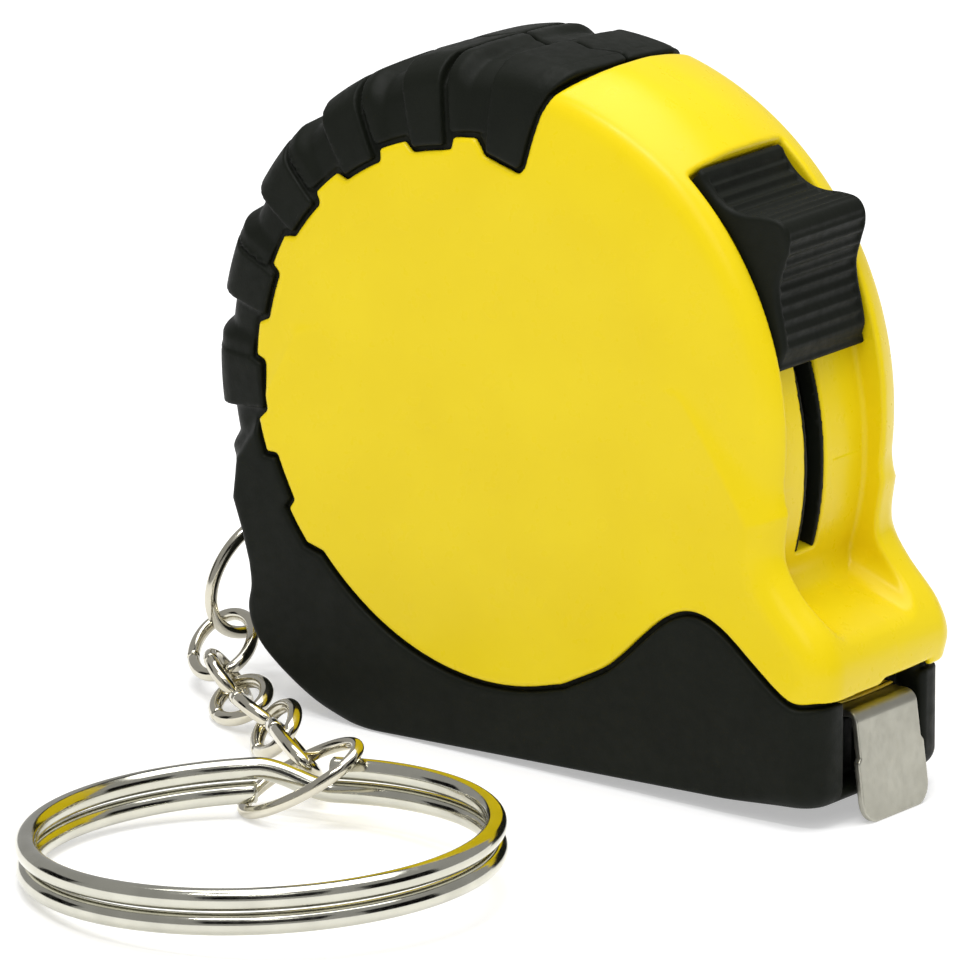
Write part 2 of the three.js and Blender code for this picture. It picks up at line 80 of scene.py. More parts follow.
CHANNEL_HALF = 4.7
SLOT_Y = -1.3                   # middle of the slot in the channel's floor
SLOT_TOP = 40
SLOT_FOOT = -15.5
SLOT_HALF = 1.1
BUTTON_HALF = 4.5
ARM_TRACK = (17.5, 18.85)       # inner and outer radius of the groove that the lock's arm runs in
HOOK_TIP = -1.3                 # height of the hook's lower edge
HOOK_LEAN = 8.0                 # degrees that the hook's plate leans out towards its tip
HOOK_THICK = 0.45
HOOK_TOP = 5.75                 # height of the tab that lies under the blade
HOOK_PLATE = (24.72, 1.3)       # a place on the inner face of the plate, in the XZ plane
BLADE_BOTTOM = 5.8
BLADE_THICK = 0.1
RIVET_X = 19.6
RIVET_Y = 1.6                   # each rivet's distance from the middle of the blade
SCREW_TOP = 7.1                 # how far out a screw's head reaches

SCREWS = {
    "case_screw_centre": REEL,
    "case_screw_front": (15.0, 3.1),
    "case_screw_rear": (-12.4, 5.0),
}


# ---- small helpers ------------------------------------------------------------------------
def polar(degrees, radius, centre=REEL):
    angle = math.radians(degrees)
    return (centre[0] + radius * math.cos(angle), centre[1] + radius * math.sin(angle))


def arc(start, end, radius):
    steps = max(2, math.ceil(abs(end - start) / 1.5))
    return [polar(start + (end - start) * i / steps, radius) for i in range(steps + 1)]


def through(points, steps):
    """A smooth line through the points."""
    p = [np.array(q, float) for q in points]
    p = [2 * p[0] - p[1]] + p + [2 * p[-1] - p[-2]]
    line = []
    for a, b, c, d in zip(p, p[1:], p[2:], p[3:]):
        for i in range(steps):
            t = i / steps
            line.append(0.5 * (2 * b + (c - a) * t + (2 * a - 5 * b + 4 * c - d) * t * t
                               + (3 * b - a - 3 * c + d) * t ** 3))
    return line + [p[-2]]


def smooth_step(low, high, value):
    t = np.clip((value - low) / (high - low), 0, 1)
    return t * t * (3 - 2 * t)


def both(a, b, radius):
    """Intersection of two solids, with their shared edge rounded to that radius."""
    u = a + radius
    v = b + radius
    return np.minimum(np.maximum(u, v), 0) + np.hypot(np.maximum(u, 0), np.maximum(v, 0)) - radius


def either(a, b, radius):
    """Union of two solids, with a fillet of that radius where they meet."""
    return -both(-a, -b, radius)


def cut(a, b, radius):
    """Solid a without solid b, with the new edge rounded to that radius."""
    return both(a, -b, radius)


def degrees_round(x, z, centre):
    return np.degrees(np.arctan2(z - centre[1], x - centre[0])) % 360


def between(value, low, high):
    """Negative where the value lies between the two limits."""
    return np.maximum(low - value, value - high)


def sector(r, turned, start, end):
    """The distance to a sector from one angle to another, measured along the arc."""
    return np.maximum(r * np.radians(start - turned), r * np.radians(turned - end))


def block(x, y, z, low, high):
    """A box as a distance."""
    sides = [between(c, l, h) for c, l, h in zip((x, y, z), low, high)]
    return np.maximum(np.maximum(sides[0], sides[1]), sides[2])


class Outline:
    """Signed distance to a closed outline in the XZ plane, read off a fine grid."""

    def __init__(self, points, pitch=0.1, margin=4.0):
        points = np.array(points, float)
        self.low = points.min(0) - margin
        size = points.max(0) + margin - self.low
        self.pitch = pitch
        nx, nz = (np.ceil(size / pitch).astype(int) + 2)
        x = self.low[0] + pitch * np.arange(nx)[:, None]
        z = self.low[1] + pitch * np.arange(nz)[None, :]
        nearest = np.full((nx, nz), 1e9)
        inside = np.zeros((nx, nz), bool)
        for (ax, az), (bx, bz) in zip(points, np.roll(points, -1, axis=0)):
            dx, dz = bx - ax, bz - az
            length = dx * dx + dz * dz
            if length < 1e-12:
                continue
            t = np.clip(((x - ax) * dx + (z - az) * dz) / length, 0, 1)
            nearest = np.minimum(nearest, (x - ax - t * dx) ** 2 + (z - az - t * dz) ** 2)
            if abs(dz) > 1e-12:
                inside ^= ((az > z) != (bz > z)) & (x < ax + (z - az) * dx / dz)
        self.grid = np.where(inside, -1, 1) * np.sqrt(nearest)

    def __call__(self, x, z):
        u = np.clip((x - self.low[0]) / self.pitch, 0, self.grid.shape[0] - 1.001)
        v = np.clip((z - self.low[1]) / self.pitch, 0, self.grid.shape[1] - 1.001)
        i, j = u.astype(int), v.astype(int)
        u, v = u - i, v - j
        g = self.grid
        return ((1 - u) * ((1 - v) * g[i, j] + v * g[i, j + 1])
                + u * ((1 - v) * g[i + 1, j] + v * g[i + 1, j + 1]))


# ---- turning a distance into a mesh -------------------------------------------------------
def gradient(field, points, reach=0.02):
    columns = []
    for axis in range(3):
        ends = []
        for side in (-1, 1):
            moved = points.copy()
            moved[:, axis] += side * reach
            ends.append(field(*moved.T))
        columns.append((ends[1] - ends[0]) / (2 * reach))
    return np.stack(columns, 1)


def surface_points(values, low, step):
    """Where the surface passes through each grid cell, and the cells' numbers."""
    inside = values < 0
    cells = [n - 1 for n in values.shape]
    corners = list(itertools.product((0, 1), repeat=3))
    count = np.zeros(cells, np.int8)
    for i, j, k in corners:
        count += inside[i:i + cells[0], j:j + cells[1], k:k + cells[2]]
    active = (count > 0) & (count < 8)
    number = np.full(cells, -1, np.int64)
    where = np.argwhere(active)
    number[active] = np.arange(len(where))
    total = np.zeros((len(where), 3))
    hits = np.zeros(len(where))
    for a, b in itertools.combinations(corners, 2):
        if sum(abs(p - q) for p, q in zip(a, b)) != 1:
            continue
        at_a = values[tuple((where + a).T)].astype(float)
        at_b = values[tuple((where + b).T)].astype(float)
        crossed = (at_a < 0) != (at_b < 0)
        t = np.where(crossed, at_a / np.where(crossed, at_a - at_b, 1), 0)
        place = np.array(a) + t[:, None] * (np.array(b) - np.array(a))
        total += place * crossed[:, None]
        hits += crossed
    return low + (where + total / hits[:, None]) * step, number, inside


def surface_faces(number, inside):
    quads = []
    around = ((0, 0), (-1, 0), (-1, -1), (0, -1))
    for axis in range(3):
        u, v = [a for a in range(3) if a != axis]
        length = inside.shape[axis] - 1
        first = np.take(inside, range(length), axis)
        second = np.take(inside, range(1, length + 1), axis)
        where = np.argwhere(first != second)
        where = where[(where[:, u] > 0) & (where[:, v] > 0)
                      & (where[:, u] < inside.shape[u] - 1) & (where[:, v] < inside.shape[v] - 1)]
        quad = []
        for du, dv in around:
            cell = where.copy()
            cell[:, u] += du
            cell[:, v] += dv
            quad.append(number[tuple(cell.T)])
        quad = np.stack(quad, 1)
        forward = first[tuple(where.T)] == (axis != 1)
        quad[~forward] = quad[~forward][:, ::-1]
        quads.append(quad)
    quads = np.concatenate(quads)
    return quads[(quads >= 0).all(1)]


def new_object(name, points, faces):
    """A mesh object from points in mm and faces with the same number of corners."""
    faces = np.asarray(faces, np.int32)
    mesh = bpy.data.meshes.new(name)
    mesh.vertices.add(len(points))
    mesh.vertices.foreach_set("co", (np.asarray(points) * MM).astype(np.float32).ravel())
    mesh.loops.add(faces.size)
    mesh.loops.foreach_set("vertex_index", faces.ravel())
    mesh.polygons.add(len(faces))
    loop_starts = np.arange(0, faces.size, faces.shape[1], dtype=np.int32)
    mesh.polygons.foreach_set("loop_start", loop_starts)
    mesh.update(calc_edges=True)
    mesh.validate()
    mesh.shade_smooth()
    obj = bpy.data.objects.new(name, mesh)
    bpy.context.scene.collection.objects.link(obj)
    return obj


def settle(obj):
    """Applies the object's modifiers."""
    evaluated = obj.evaluated_get(bpy.context.evaluated_depsgraph_get())
    mesh = bpy.data.meshes.new_from_object(evaluated)
    obj.modifiers.clear()
    obj.data = mesh


def solid_from(name, field, low, high, step, keep):
    """The mesh of a distance function inside a box, thinned to a share of its faces."""
    low = np.array(low, float) - 2.5 * step
    lines = [np.arange(a, b + 3 * step, step) for a, b in zip(low, high)]
    sparse = np.meshgrid(*lines, indexing="ij", sparse=True)
    values = np.broadcast_to(field(*sparse), [len(line) for line in lines]).astype(np.float32)
    points, number, inside = surface_points(values, low, step)
    faces = surface_faces(number, inside)
    # each point moves onto the surface in a few steps, none longer than half a cell
    for _ in range(3):
        slope = gradient(field, points)
        size = np.maximum((slope ** 2).sum(1), 0.2)
        move = slope * (field(*points.T) / size)[:, None]
        longest = np.linalg.norm(move, axis=1)
        move *= np.minimum(1, 0.5 * step / np.maximum(longest, 1e-9))[:, None]
        points = points - move
    obj = new_object(name, points, faces)
    thin = obj.modifiers.new("thin", "DECIMATE")
    thin.ratio = keep
    settle(obj)
    return obj


# ---- outlines -----------------------------------------------------------------------------
def face_arc(start, end, radius):
    """An arc round the reel that reaches further in at the top than at the back."""
    steps = 8
    turned = [start + (end - start) * i / steps for i in range(steps + 1)]
    inwards = np.interp(turned, [95, 103, 112, 125, 150, 180, 205],
                        [1.0, 0.95, 0.7, 0.35, -0.2, -0.25, 0.0])
    return [polar(a, radius - shift) for a, shift in zip(turned, inwards)]


def black_outline():
    """The black side of the line between yellow and black on the faces."""
    # degrees and radius, down the front edge of the first lug and back along its toe
    front = [(76.0, 27), (76.1, 22.4), (77.0, 21.5), (79.0, 20.3), (80.2, 19.0), (80.8, 17.5),
             (81.3, 15.6), (82.0, 15.3), (90.6, 15.85), (92.0, 16.4), (93.1, 16.85)]
    points = [polar(*place) for place in front]
    for lug in range(LUG_COUNT):
        start = FIRST_LUG + lug * PITCH
        points += face_arc(start - PITCH + LUG_SPAN + 1.6, start - 0.9, NOTCH_REACH)
        points += face_arc(start, start + LUG_SPAN, LUG_REACH)
    last = FIRST_LUG + (LUG_COUNT - 1) * PITCH + LUG_SPAN
    points += arc(last + 1.0, last + 10, NOTCH_REACH - 0.1)
    # round the bottom of the face, moving out a little on the way
    base_end = 282
    for i in range(1, 25):
        t = i / 24
        angle = last + 11 + (base_end - last - 11) * t
        points.append(polar(angle, 17.13 + 0.92 * t * t * (3 - 2 * t)))
    # over the hump and down to the mouth
    hump = [(5.7, 5.06), (8.7, 6.55), (10.2, 7.71), (11.7, 9.13), (13.2, 10.41), (14.7, 11.11),
            (16.1, 11.03), (17.6, 10.25), (19.5, 8.69), (21.0, 7.47), (22.1, 6.75), (23.0, 6.5),
            (24.2, 6.6)]
    points += [tuple(q) for q in through(hump, 4)]
    # and back round outside the case
    return points + [(28, 6.6), (28, -4), (-31, -4), (-31, 52), (5.5, 52)]


def body_outline():
    """The lower body and nose from the side, open downwards."""
    rear = [(-18.45, 9.4), (-18.3, 8.0), (-18.5, 6.4), (-17.8, 4.6), (-16.0, 2.9), (-13.2, 1.15),
            (-10.0, 0.0), (-8.0, -0.6)]
    nose = [(NOSE_FRONT, 7.2), (25.08, 8.6), (24.75, 9.9), (23.9, 11.3), (22.2, 13.1), (21.1, 14.7),
            (20.75, 16.2), (20.9, 18.0)]
    points = [tuple(q) for q in through(rear, 5)]
    points += [(-4, -5), (BASE_FRONT, -5), (BASE_FRONT, 6.45), (NOSE_FRONT - 0.1, 6.6)]
    points += [tuple(q) for q in through(nose, 4)]
    return points + [(14, 24), (-14, 24), (-19.4, 16.0), (-19.7, 13.4), (-19.0, 11.4)]


BLACK_SIDE = Outline(black_outline())
BODY_SIDE = Outline(body_outline())


# ---- the case -----------------------------------------------------------------------------
def cone(r, v, place_r, place_v, slope_r, slope_v):
    """The distance to a cone round the reel axis, through a place and facing the slope's way."""
    away = slope_r * (r - place_r) + slope_v * (v - place_v)
    return away / math.hypot(slope_r, slope_v)


def body(x, y, z):
    """The lower body and nose, which is a little shorter at the front on the far side."""
    v = np.abs(y)
    shorter = 0.3 * smooth_step(1, 6, y) * smooth_step(18, 22, x) * smooth_step(9, 6, z)
    side = BODY_SIDE(x + shorter, z)
    soft = 0.6 + 1.7 * smooth_step(12, 20, x)
    underside_soft = 0.3 + 0.9 * smooth_step(17, 23, x)
    return both(both(side, v - HALF, soft), 0.05 - z, underside_soft)


def round_case(x, y, z):
    """The round of the case, with two cones between its flat face and its rim."""
    v = np.abs(y)
    r = np.hypot(x - REEL[0], z - REEL[1])
    far_side = smooth_step(1, 6, y)
    shape = both(v - HALF, cone(r, v, 18.0, HALF, 0.6, 2.2), 1.5)
    shape = both(shape, cone(r, v, 20.3 + 0.25 * far_side, 6.95, 2.1, 1.7), 0.9)
    return both(shape, r - RIM, 2.4 - 0.6 * far_side)


def tread_place(x, y, z):
    """Degrees past the start of a lug, with the lugs slanting across the rim, and the lug's number."""
    near_slant = 3.3
    slant = near_slant * np.clip(-y / HALF, 0, 1) - 0.05 * np.clip(y, 0, HALF)
    turned = degrees_round(x, z, REEL) - slant - (FIRST_LUG - near_slant)
    lug = np.floor(turned / PITCH)
    return turned - lug * PITCH, lug


def tread(x, y, z):
    """The rim of the black tread, with its lugs, the steps between them and a groove at each."""
    v = np.abs(y)
    r = np.hypot(x - TREAD[0], z - TREAD[1])
    t, lug = tread_place(x, y, z)
    fall = smooth_step(8.8, 9.9, t) - smooth_step(14.2, 17.2, t)
    fall = fall * (0.35 + 0.65 * smooth_step(0.5, 4.0, v))
    round_angle = degrees_round(x, z, TREAD)
    rim = TREAD_RIM - RECESS * fall - 0.25 * (v / 6.5) ** 2 + 0.06 * smooth_step(115, 140, round_angle)
    rim = rim - 0.12 * smooth_step(0, 6, y) * smooth_step(108, 88, round_angle)
    step = 0.14 * (smooth_step(8.9, 9.3, t) - smooth_step(18.6, 19.5, t))
    side = v - HALF + step
    shape = both(side, cone(r, v, 18.4 - 1.2 * fall, HALF - step, 0.75, 2.2), 1.2)
    shape = both(shape, r - rim, 1.7)
    nearest = np.minimum(t, PITCH - t)
    groove_number = np.where(t < PITCH / 2, lug, lug + 1)
    width = np.interp(groove_number, [-1, 0, 1, 2, 3, 4], [0, 0.27, 0.24, 0.17, 0.09, 0.0])
    width = width * np.where(v > 3.5, 1.0, 0.6)
    away = r * np.radians(nearest)
    depth = 3.0 * width
    return both(shape, np.minimum(width - away, shape + depth), 0.12)


def yellow_solid(x, y, z):
    whole = either(round_case(x, y, z), body(x, y, z), 1.6)
    return np.maximum(whole, np.abs(y) - HALF)


def black_solid(x, y, z):
    whole = either(tread(x, y, z), body(x, y, z), 0.8)
    return np.maximum(whole, np.abs(y) - HALF)


def black_side_at(x, y, z):
    """The black side of the line. At the top of the case it lies further forward away from the near face."""
    forward = 0.35 * smooth_step(-6, -1, y) + 0.5 * smooth_step(0, 6, y)
    return BLACK_SIDE(x - forward * smooth_step(38, 42, z), z)


def core(x, y, z, margin):
    """The yellow shell below the tread and base, hidden by them."""
    v = np.abs(y)
    r = np.hypot(x - REEL[0], z - REEL[1])
    drum = np.maximum(r - 19.1 - margin, v - 5.7 - margin)
    foot = block(x, y, z, (-14, -6.0 - margin, 1.7 - margin), (19.3 + margin, 6.0 + margin, 12))
    return np.minimum(drum, foot)


def mouth(x, y, z):
    """The recess for the hook and the tunnel for the blade, under a lip that steps up to the far side."""
    lip = 6.75 + 0.55 * smooth_step(-1.8, -0.4, y)
    recess = np.maximum(block(x, y, z, (22.2, -4.3, 1.0), (40, 4.5, 9)), z - lip)
    tunnel = block(x, y, z, (-3, -3.7, 4.5), (40, 3.7, 6.9))
    return np.minimum(recess, tunnel)


def lock_place(x, z):
    """The radius and the degrees about the lock's centre."""
    r = np.hypot(x - LOCK[0], z - LOCK[1])
    turned = np.degrees(np.arctan2(z - LOCK[1], x - LOCK[0]))
    return r, turned


def lock_floor(turned):
    """Radius of the channel's floor. It rises towards the top, to stay outside the reel's hollow."""
    return LOCK_FLOOR + 1.7 * smooth_step(12, 46, turned)


def channel(x, y, z):
    r, turned = lock_place(x, z)
    across = np.abs(y - LOCK_Y) - CHANNEL_HALF
    top = r * np.radians(turned - CHANNEL_TOP)
    foot = r * np.radians(CHANNEL_FOOT - turned)
    walls = both(both(lock_floor(turned) - r, across, 0.35), top, 0.2)
    return both(walls, foot, 1.6)


def slot(x, y, z):
    r, turned = lock_place(x, z)
    across = np.abs(y - SLOT_Y) - SLOT_HALF
    ends = sector(r, turned, SLOT_FOOT, SLOT_TOP)
    return np.maximum(between(r, 17, 22), both(across, ends, 0.3))


def track(x, y, z):
    """The groove inside the front rim that the lock's arm runs in."""
    r, turned = lock_place(x, z)
    ends = sector(r, turned, -52, SLOT_TOP)
    return np.maximum(between(r, *ARM_TRACK), np.maximum(np.abs(y) - 2.8, ends))


def screw_holes(x, y, z):
    """A wide hole for each screw's head and a thin one for its shank, from the far side."""
    holes = []
    for centre_x, centre_z in SCREWS.values():
        r = np.hypot(x - centre_x, z - centre_z)
        holes.append(np.maximum(r - 1.95, 5.9 - y))
        holes.append(np.maximum(r - 1.05, -4 - y))
    return functools.reduce(np.minimum, holes)


EYELET = (-20.2, 9.9)
EYELET_OUT = 2.85               # its outer radius
EYELET_HOLE = 1.85


def eyelet(x, y, z):
    """The lug that the chain hangs from. It is an upright outline, the same at every y, cut to its width."""
    r = np.hypot(x - EYELET[0], z - EYELET[1])
    root = block(x, 0 * y, z, (EYELET[0], -1, EYELET[1] - EYELET_OUT), (-15.5, 1, EYELET[1] + EYELET_OUT))
    lug = np.minimum(r - EYELET_OUT, root)
    return cut(both(lug, np.abs(y) - 0.8, 0.3), r - EYELET_HOLE, 0.25)


def yellow_shell(x, y, z):
    """Both yellow halves as one."""
    black_side = black_side_at(x, y, z)
    skin = yellow_solid(x, y, z)
    shape = both(skin, LINE_GAP - black_side, 0.24)
    # the black piece reaches a little way under the yellow's edge
    under = np.maximum(skin + 0.5, black_side - LINE_GAP - 0.45)
    shape = np.maximum(shape, -under)
    shape = np.minimum(shape, core(x, y, z, 0))
    shape = np.minimum(shape, eyelet(x, y, z))
    r = np.hypot(x - REEL[0], z - REEL[1])
    cavity = np.maximum(r - 18.4, np.abs(y) - 5.2)
    shape = np.maximum(shape, -cavity)
    shape = cut(shape, channel(x, y, z), 0.35)
    shape = cut(shape, slot(x, y, z), 0.12)
    shape = np.maximum(shape, -track(x, y, z))
    shape = cut(shape, mouth(x, y, z), 0.3)
    return cut(shape, screw_holes(x, y, z), 0.15)


def near_shell(x, y, z):
    """The near half. It sinks a little under the far half where it laps past the seam."""
    past = np.clip(y - SEAM_Y, 0, SEAM_LAP)
    return np.maximum(yellow_shell(x, y, z) + 0.09 * past, y - SEAM_Y - SEAM_LAP)


def far_shell(x, y, z):
    past = np.clip(SEAM_Y - y, 0, SEAM_LAP)
    return np.maximum(yellow_shell(x, y, z) + 0.09 * past, SEAM_Y - SEAM_LAP - y)


def black_bumper(x, y, z):
    """Both black bumpers as one, with an edge that reaches under the yellow's."""
    black_side = black_side_at(x, y, z)
    skin = black_solid(x, y, z)
    shape = both(skin, black_side, 0.26)
    under = np.maximum(yellow_solid(x, y, z) + 0.56, black_side - LINE_GAP - 0.4)
    shape = np.minimum(shape, under)
    shape = np.maximum(shape, -core(x, y, z, 0.2))
    gap = block(x, y, z, (-30, -1.1, 7.0), (-14, 1.1, 12.8))
    shape = cut(shape, gap, 0.25)
    shape = cut(shape, mouth(x, y, z), 0.5)
    return cut(shape, screw_holes(x, y, z), 0.15)


def seam(x, y, z):
    """Where the two bumpers meet: a shallow zigzag along the tread."""
    t, _ = tread_place(x, 0 * y, z)
    zigzag = np.interp(t, [0, 4, 8, 11.8, PITCH], [0.5, -0.6, -0.1, -1.0, 0.5])
    return zigzag * smooth_step(12, 20, z)


def near_bumper(x, y, z):
    return both(black_bumper(x, y, z), y - seam(x, y, z) + 0.06, 0.3)


def far_bumper(x, y, z):
    return both(black_bumper(x, y, z), seam(x, y, z) + 0.06 - y, 0.3)


# ---- the lock button ----------------------------------------------------------------------
# its top line, in degrees and radius about the lock's centre
CREST = [(20.4, 21.6), (21.8, 21.95), (25, 22.25), (28.5, 22.6), (31.2, 23.15), (33.4, 24.15),
         (35.0, 25.0), (36.8, 25.5), (38.7, 25.45), (40.6, 24.7), (42.6, 23.7), (44.8, 23.05),
         (47.5, 22.8), (50.2, 22.9), (51.9, 23.15)]
RIB_PITCH = 0.86
RIB_DEPTH = 0.17


def button_outline(rib_depth):
    """The button from the side. Ribs are cut along its top line, leaving the crest smooth."""
    crest = np.array(through([polar(a, r, LOCK) for a, r in CREST], 30))
    run = np.concatenate([[0], np.cumsum(np.linalg.norm(np.diff(crest, axis=0), axis=1))])
    slope = np.gradient(crest, axis=0)
    slope /= np.linalg.norm(slope, axis=1)[:, None]
    normal = np.stack([slope[:, 1], -slope[:, 0]], 1)
    top = run[np.argmax(np.linalg.norm(crest - LOCK, axis=1))]
    wave = 0.5 - 0.5 * np.cos(2 * math.pi * (run - top) / RIB_PITCH)
    shown = smooth_step(0.3, 0.9, np.abs(run - top)) * smooth_step(0.3, 0.8, run)
    shown = shown * smooth_step(0.3, 0.8, run[-1] - run)
    crest = crest - normal * (rib_depth * wave ** 0.7 * shown)[:, None]
    foot = [polar(a, lock_floor(a) + 0.12, LOCK) for a in np.linspace(52.8, 18.8, 30)]
    return [polar(18.9, 21.1, LOCK)] + [tuple(q) for q in crest] + [polar(52.8, 23.1, LOCK)] + foot


BUTTON_SMOOTH = Outline(button_outline(0.0), 0.05, 1.5)
BUTTON_RIBBED = Outline(button_outline(RIB_DEPTH), 0.05, 1.5)


def lock_button(x, y, z):
    r, turned = lock_place(x, z)
    v = np.abs(y - LOCK_Y)
    ribbed = smooth_step(BUTTON_HALF - 0.4, BUTTON_HALF - 0.65, v)
    side = BUTTON_SMOOTH(x, z) * (1 - ribbed) + BUTTON_RIBBED(x, z) * ribbed
    # the sides lean in a little towards the crest
    lean = 0.05 * np.clip(r - 21.5, 0, 4)
    shape = both(side, v - BUTTON_HALF + lean, 0.3)
    # a thin flange fills the channel from side to side below the ribs
    flange = both(between(r, lock_floor(turned) + 0.1, 21.3), v - CHANNEL_HALF + 0.07, 0.15)
    flange = both(flange, sector(r, turned, 18.5, CHANNEL_TOP - 0.2), 0.2)
    return either(shape, flange, 0.1)


def slot_painted_shade(x, y, z):
    """Two black strips inside the slot, put there as painted shade so that the slot stays dark along its
    length; the button's stem runs between them.
    """
    r, turned = lock_place(x, z)
    across = np.abs(y - SLOT_Y)
    wall = between(across, 0.78, SLOT_HALF - 0.04)
    ends = sector(r, turned, SLOT_FOOT + 0.1, SLOT_TOP - 0.2)
    return np.maximum(between(r, 18.9, LOCK_FLOOR - 0.08), np.maximum(wall, ends))


def lock_slider(x, y, z):
    """The lock's arm inside the case: a wide head, a long arm, and the stem up to the button."""
    r, turned = lock_place(x, z)
    plate = between(r, 18.1, 18.75)
    head = both(np.abs(y) - 2.5, sector(r, turned, 17, 38), 0.4)
    arm = both(np.abs(y - 0.5 * SLOT_Y) - 1.8, sector(r, turned, -15.3, 20), 0.3)
    stem = both(np.abs(y - SLOT_Y) - 0.6, sector(r, turned, 19, 37), 0.2)
    stem = np.maximum(between(r, 18.4, LOCK_FLOOR + 0.2), stem)
    return np.minimum(np.maximum(plate, np.minimum(head, arm)), stem)


# ---- swept wire ---------------------------------------------------------------------------
def wire(name, path, radius, sides=20):
    """A round wire along the points, with rounded-off flat ends."""
    path = np.asarray(path, float)
    along = np.gradient(path, axis=0)
    along /= np.linalg.norm(along, axis=1)[:, None]
    side = np.cross(along[0], (0.1, 0.2, 1.0))
    side /= np.linalg.norm(side)
    frames = []
    for direction in along:
        side = side - direction * side.dot(direction)
        side /= np.linalg.norm(side)
        frames.append((side, np.cross(direction, side)))
    # each ring of the wire: which point it is at, how far along from it, and its share of the radius
    last = len(path) - 1
    bevel = 0.18 * radius
    plan = [(0, 0, 0.02), (0, 0, 0.8), (0, bevel, 1.0)]
    plan += [(i, 0, 1.0) for i in range(1, last)]
    plan += [(last, -bevel, 1.0), (last, 0, 0.8), (last, 0, 0.02)]
    angle = 2 * math.pi * np.arange(sides)[:, None] / sides
    rings = []
    for i, shift, share in plan:
        u, w = frames[i]
        centre = path[i] + along[i] * shift
        rings.append(centre + radius * share * (np.cos(angle) * u + np.sin(angle) * w))
    points = np.concatenate(rings)
    faces = []
    for a in range(len(rings) - 1):
        for s in range(sides):
            n = (s + 1) % sides
            faces.append((a * sides + s, a * sides + n, (a + 1) * sides + n, (a + 1) * sides + s))
    obj = new_object(name, points, faces)
    work = bmesh.new()
    work.from_mesh(obj.data)
    for ring in (0, len(rings) - 1):
        work.verts.ensure_lookup_table()
        loop = [work.verts[ring * sides + s] for s in range(sides)]
        work.faces.new(loop if ring else loop[::-1])
    bmesh.ops.recalc_face_normals(work, faces=work.faces)
    work.to_mesh(obj.data)
    work.free()
    obj.data.shade_smooth()
    return obj


CHAIN_SLACK = 0.32              # free play of one link in the next
RING_LINK_WIRE = 0.85
CURB_WIRE = 0.95
CURB_HALF_WIDTH = 1.7
# name, thickness of the wire, half width, degrees it leans, and where it holds the next one
CHAIN = [
    ("case_jump_ring", RING_LINK_WIRE, 3.1, -82.4, (-22.87, -4.14, 3.8)),
    ("chain_ring", RING_LINK_WIRE, 2.1, -27.7, (-19.38, -8.46, 2.39)),
    ("curb_link_1", CURB_WIRE, CURB_HALF_WIDTH, 49, (-17.08, -10.6, 1.76)),
    ("curb_link_2", CURB_WIRE, CURB_HALF_WIDTH, -31.9, (-14.11, -12.63, 1.67)),
    ("curb_link_3", CURB_WIRE, CURB_HALF_WIDTH, 39.5, (-11.02, -15.09, 1.91)),
    ("curb_link_4", CURB_WIRE, CURB_HALF_WIDTH, -51, (-7.36, -18.56, 2.38)),
    ("curb_link_5", CURB_WIRE, CURB_HALF_WIDTH, 49.1, (-1.88, -23.85, 2.76)),
    ("key_jump_ring", RING_LINK_WIRE, 4.2, -30, (-0.32, -27.65, 1.68)),
]


def turned_about(vector, axis, degrees):
    """A vector turned about a unit axis."""
    angle = math.radians(degrees)
    return (vector * math.cos(angle) + np.cross(axis, vector) * math.sin(angle)
            + axis * axis.dot(vector) * (1 - math.cos(angle)))


def chain_paths():
    """Each link's name, wire and path. A link is an oval, left open by a hair at one side."""
    held = np.array([EYELET[0] + 0.1, 0.65, EYELET[1] + 0.3])
    held_wire = 0.0
    for name, thick, half_width, lean, end in CHAIN:
        end = np.array(end)
        along = end - held
        along /= np.linalg.norm(along)
        gap = (held_wire + thick) / 2 + CHAIN_SLACK if held_wire else 0.0
        start = held - along * gap
        across = np.cross(along, (0, 0, 1))
        across = turned_about(across / np.linalg.norm(across), along, -lean)
        middle = (start + end) / 2
        angles = math.pi / 2 + 2 * math.pi * (0.005 + 0.99 * np.arange(73)[:, None] / 72)
        path = middle + np.cos(angles) * (end - start) / 2 + np.sin(angles) * across * half_width
        yield name, thick, path
        held, held_wire = end, thick


RING_CENTRE = (5.02, -37.81, 2.25)
RING_RADIUS = 14.05
RING_WIRE = 1.37
RING_SPACING = 1.5              # from the middle of one turn to the middle of the other
RING_TILT = -2.43               # degrees about RING_TILT_AXIS
RING_TILT_AXIS = (-0.574, 0.819, 0.0)
CROSSOVER_AT = 118              # degrees about the ring's centre
CROSSOVER_HALF = 10
WIRE_END = 9.5                  # degrees by which each end stops short of the crossover


def split_ring_path():
    """Two flat turns of wire, one on the other, joined by a short crossover."""
    turned = WIRE_END + (720 - 2 * WIRE_END) * np.arange(481) / 480
    rise = RING_SPACING * (smooth_step(-CROSSOVER_HALF, CROSSOVER_HALF, turned - 360) - 0.5)
    angle = np.radians(CROSSOVER_AT + turned)
    flat = np.stack([RING_RADIUS * np.cos(angle), RING_RADIUS * np.sin(angle), rise], 1)
    axis = np.array(RING_TILT_AXIS)
    axis /= np.linalg.norm(axis)
    return np.array([turned_about(p, axis, RING_TILT) for p in flat]) + RING_CENTRE


